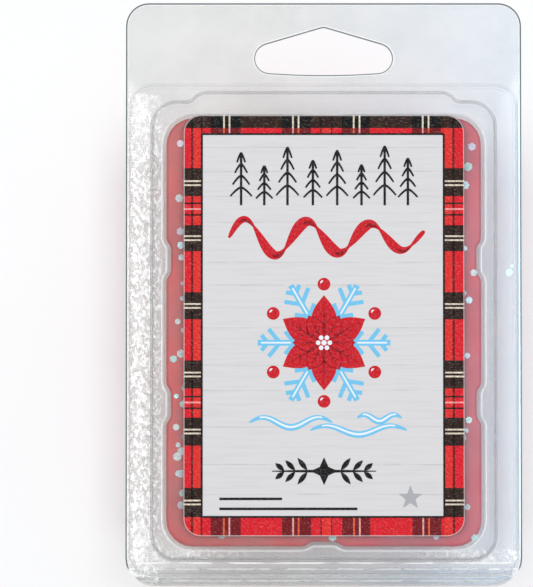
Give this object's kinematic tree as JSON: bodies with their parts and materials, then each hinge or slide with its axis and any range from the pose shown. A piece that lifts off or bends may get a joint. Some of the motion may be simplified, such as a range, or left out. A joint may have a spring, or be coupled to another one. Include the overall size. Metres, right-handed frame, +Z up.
{
  "type": "wax melt clamshell pack",
  "caption": "Clear folded clamshell pack with a peg slot in its tab, a cupped tray holding a red glittered wax bar, and a hinged lid with a plaid-bordered label.",
  "frame": {"origin": "middle of the pack's outline, at the bottoms of the tray's cups, with the pack lying on its back", "axes": "+Z up from the cups to the label, +Y along the pack from the fold to the tab with the peg slot, +X to the label's right"},
  "size_m": [0.072, 0.106, 0.0227],
  "materials": {
    "clear_sheet_tray": "clear thermoformed sheet",
    "red_wax": "poured wax with pale glitter",
    "clear_sheet_lid": "clear thermoformed sheet",
    "label_paper": "printed paper, satin"
  },
  "bodies": {
    "tray_body": {"tray": "clear_sheet_tray", "wax_bar": "red_wax"},
    "lid_body": {"lid": "clear_sheet_lid", "label": "label_paper"}
  },
  "joints": [
    {"name": "lid_hinge", "type": "hinge", "parent": "tray_body", "child": "lid_body", "pos_m": [0, -0.05255, 0.01835], "axis": [1, 0, 0], "range_deg": [0, 180]}
  ]
}
